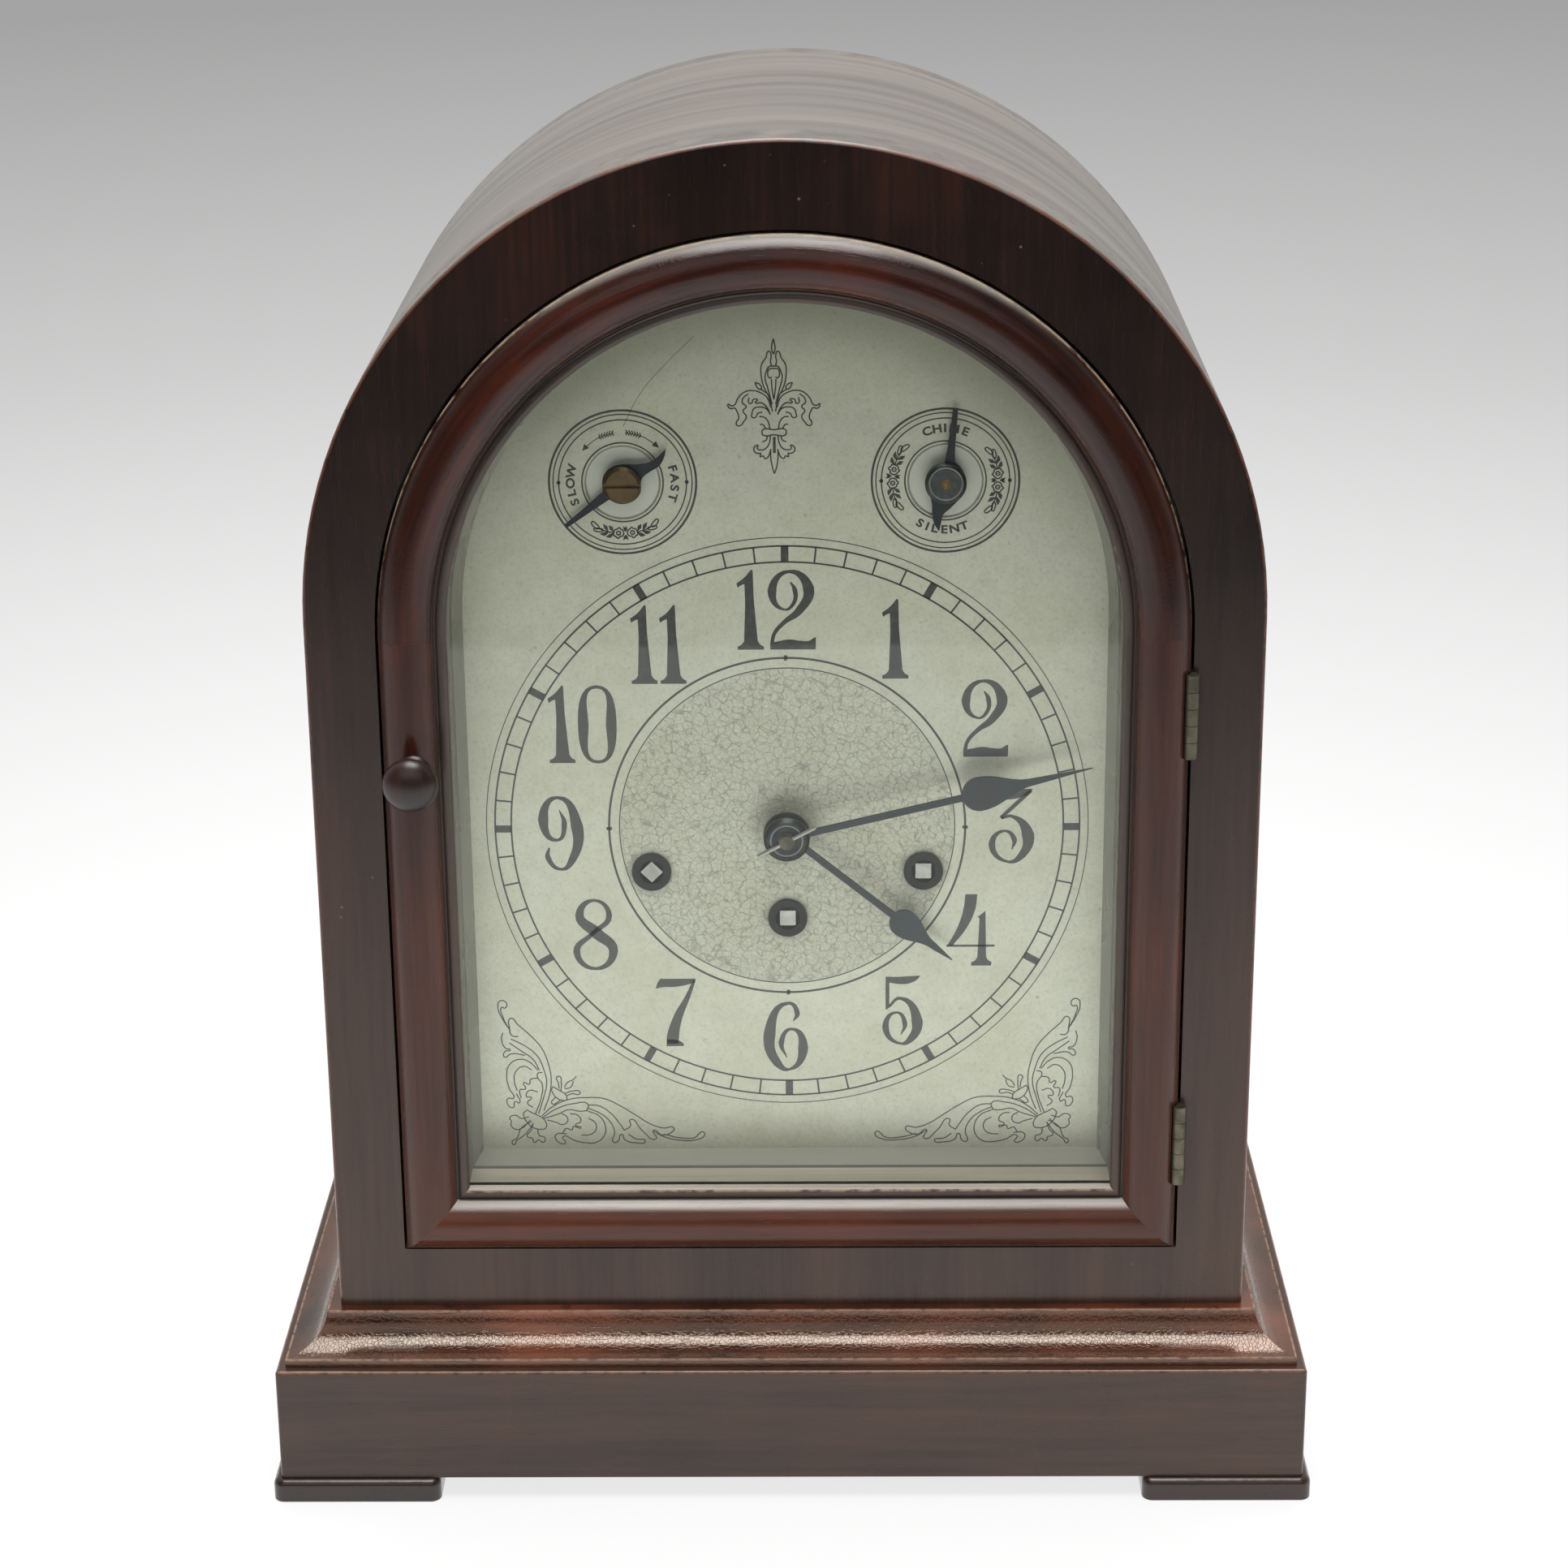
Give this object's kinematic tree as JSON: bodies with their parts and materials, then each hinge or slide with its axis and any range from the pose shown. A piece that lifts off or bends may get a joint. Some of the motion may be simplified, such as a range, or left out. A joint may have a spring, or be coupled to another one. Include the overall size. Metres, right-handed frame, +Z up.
{
  "type": "chiming mantel clock",
  "caption": "Round-top wooden mantel clock on a moulded plinth, with a hinged glazed front door, silvered dial with small regulator and silencer dials, and a pendulum chime movement.",
  "frame": {"origin": "on the ground, under the middle of the case's width and depth", "axes": "+Z up, +X to the right of someone facing the dial, +Y from the dial to the back door"},
  "size_m": [0.2964, 0.2054, 0.3853],
  "materials": {
    "mahogany": "dark varnished mahogany",
    "inner_wood": "bare",
    "glass": "polished",
    "silvered": "silvered, tarnished",
    "brass": "satin",
    "old_brass": "aged",
    "blued_steel": "blued",
    "steel": "satin",
    "cast_iron": "black paint"
  },
  "bodies": {
    "case": {"bracket_feet": "mahogany", "plinth": "mahogany", "base_moulding": "mahogany", "base_board": "inner_wood", "case_shell": "mahogany", "front_frame": "mahogany", "back_frame": "mahogany", "dial_surround": "mahogany", "case_hinge_halves": "old_brass", "back_case_hinge_halves": "old_brass", "dial_plate": "silvered", "winding_collars": "blued_steel", "front_plate": "brass", "back_plate": "brass", "plate_pillars": "brass", "movement_screws": "steel", "seat_board": "inner_wood", "clicks": "steel", "back_cock": "brass", "chime_bridge": "brass", "gong_block": "cast_iron", "gong_rods": "steel"},
    "front_door": {"door_frame": "mahogany", "door_glass": "glass", "glazing_bead": "mahogany", "door_knob": "mahogany", "door_hinge_halves": "old_brass"},
    "rear_door": {"back_door": "mahogany", "back_door_knob": "brass", "back_door_hinge_halves": "old_brass"},
    "minute_set": {"minute_hand": "blued_steel", "cannon_pinion": "brass"},
    "hour_set": {"hour_hand": "blued_steel", "hour_wheel": "brass"},
    "motion_wheel": {"minute_wheel": "brass"},
    "centre_set": {"centre_wheel": "brass", "hand_collet": "blued_steel", "hand_pin": "steel"},
    "third_set": {"third_wheel": "brass"},
    "escape_set": {"escape_wheel": "brass"},
    "going_barrel_set": {"going_barrel": "brass"},
    "strike_barrel_set": {"strike_barrel": "brass"},
    "strike_wheel_set": {"strike_wheel": "brass"},
    "chime_barrel_set": {"chime_barrel": "brass"},
    "chime_drum_set": {"chime_drum": "brass"},
    "going_winder": {"going_winding_arbor": "steel"},
    "strike_winder": {"strike_winding_arbor": "steel"},
    "chime_winder": {"chime_winding_arbor": "steel"},
    "anchor_set": {"pallet_anchor": "steel"},
    "pendulum": {"pendulum_rod": "steel", "pendulum_bob": "brass", "rating_nut": "brass"},
    "regulator": {"regulator_hand": "blued_steel", "regulator_arbor": "brass"},
    "chime_switch": {"chime_hand": "blued_steel", "chime_arbor": "brass"},
    "hammer_set_1": {"hammer_1": "steel"},
    "hammer_set_2": {"hammer_2": "steel"},
    "hammer_set_3": {"hammer_3": "steel"},
    "hammer_set_4": {"hammer_4": "steel"}
  },
  "joints": [
    {"name": "front_door_swing", "type": "hinge", "parent": "case", "child": "front_door", "pos_m": [0.10915, -0.0856, 0.15], "axis": [0, 0, 1], "range_deg": [0, 140]},
    {"name": "rear_door_swing", "type": "hinge", "parent": "case", "child": "rear_door", "pos_m": [-0.09535, 0.0856, 0.15], "axis": [0, 0, 1], "range_deg": [0, 120]},
    {"name": "minute_turn", "type": "hinge", "parent": "case", "child": "minute_set", "pos_m": [0, 0, 0.1904], "axis": [0, 1, 0], "continuous": true},
    {"name": "hour_turn", "type": "hinge", "parent": "case", "child": "hour_set", "pos_m": [0, 0, 0.1904], "axis": [0, 1, 0], "continuous": true},
    {"name": "motion_wheel_turn", "type": "hinge", "parent": "case", "child": "motion_wheel", "pos_m": [0, 0, 0.2104], "axis": [0, 1, 0], "continuous": true},
    {"name": "escape_turn", "type": "hinge", "parent": "case", "child": "escape_set", "pos_m": [0, 0, 0.21436], "axis": [0, 1, 0], "continuous": true},
    {"name": "third_turn", "type": "hinge", "parent": "case", "child": "third_set", "pos_m": [-0.0117, 0, 0.20434], "axis": [0, 1, 0], "continuous": true},
    {"name": "centre_turn", "type": "hinge", "parent": "case", "child": "centre_set", "pos_m": [0, 0, 0.1904], "axis": [0, 1, 0], "continuous": true},
    {"name": "going_barrel_turn", "type": "hinge", "parent": "case", "child": "going_barrel_set", "pos_m": [0, 0, 0.16352], "axis": [0, 1, 0], "continuous": true},
    {"name": "strike_barrel_turn", "type": "hinge", "parent": "case", "child": "strike_barrel_set", "pos_m": [-0.038, 0, 0.1775], "axis": [0, 1, 0], "continuous": true},
    {"name": "strike_wheel_turn", "type": "hinge", "parent": "case", "child": "strike_wheel_set", "pos_m": [-0.05103, 0, 0.15399], "axis": [0, 1, 0], "continuous": true},
    {"name": "chime_barrel_turn", "type": "hinge", "parent": "case", "child": "chime_barrel_set", "pos_m": [0.038, 0, 0.1775], "axis": [0, 1, 0], "continuous": true},
    {"name": "chime_drum_turn", "type": "hinge", "parent": "case", "child": "chime_drum_set", "pos_m": [0.05103, 0, 0.15399], "axis": [0, 1, 0], "continuous": true},
    {"name": "going_winding", "type": "hinge", "parent": "case", "child": "going_winder", "pos_m": [0, 0, 0.16352], "axis": [0, 1, 0], "continuous": true},
    {"name": "strike_winding", "type": "hinge", "parent": "case", "child": "strike_winder", "pos_m": [-0.038, 0, 0.1775], "axis": [0, 1, 0], "continuous": true},
    {"name": "chime_winding", "type": "hinge", "parent": "case", "child": "chime_winder", "pos_m": [0.038, 0, 0.1775], "axis": [0, 1, 0], "continuous": true},
    {"name": "pendulum_swing", "type": "hinge", "parent": "case", "child": "pendulum", "pos_m": [0, 0, 0.23276], "axis": [0, 1, 0], "range_deg": [-5, 5]},
    {"name": "anchor_rock", "type": "hinge", "parent": "case", "child": "anchor_set", "pos_m": [0, 0, 0.23276], "axis": [0, 1, 0], "range_deg": [-5, 5]},
    {"name": "regulator_turn", "type": "hinge", "parent": "case", "child": "regulator", "pos_m": [-0.0435, 0, 0.2898], "axis": [0, 1, 0], "range_deg": [0, 250]},
    {"name": "chime_switch_turn", "type": "hinge", "parent": "case", "child": "chime_switch", "pos_m": [0.0435, 0, 0.2898], "axis": [0, 1, 0], "range_deg": [0, 172]},
    {"name": "hammer_1_lift", "type": "hinge", "parent": "case", "child": "hammer_set_1", "pos_m": [0.03803, 0, 0.12], "axis": [0, -1, 0], "range_deg": [0, 12]},
    {"name": "hammer_2_lift", "type": "hinge", "parent": "case", "child": "hammer_set_2", "pos_m": [0.03803, 0, 0.12], "axis": [0, -1, 0], "range_deg": [0, 12]},
    {"name": "hammer_3_lift", "type": "hinge", "parent": "case", "child": "hammer_set_3", "pos_m": [0.03803, 0, 0.12], "axis": [0, -1, 0], "range_deg": [0, 12]},
    {"name": "hammer_4_lift", "type": "hinge", "parent": "case", "child": "hammer_set_4", "pos_m": [0.03803, 0, 0.12], "axis": [0, -1, 0], "range_deg": [0, 12]}
  ],
  "couplings": [
    {"joint": "hour_turn", "follows": "minute_turn", "ratio": 0.083333},
    {"joint": "motion_wheel_turn", "follows": "minute_turn", "ratio": -0.33333},
    {"joint": "third_turn", "follows": "escape_turn", "ratio": -0.1},
    {"joint": "centre_turn", "follows": "escape_turn", "ratio": 0.0083333},
    {"joint": "going_barrel_turn", "follows": "escape_turn", "ratio": -0.0013889},
    {"joint": "strike_wheel_turn", "follows": "strike_barrel_turn", "ratio": -6},
    {"joint": "chime_drum_turn", "follows": "chime_barrel_turn", "ratio": -6},
    {"joint": "anchor_rock", "follows": "pendulum_swing", "ratio": 1}
  ]
}
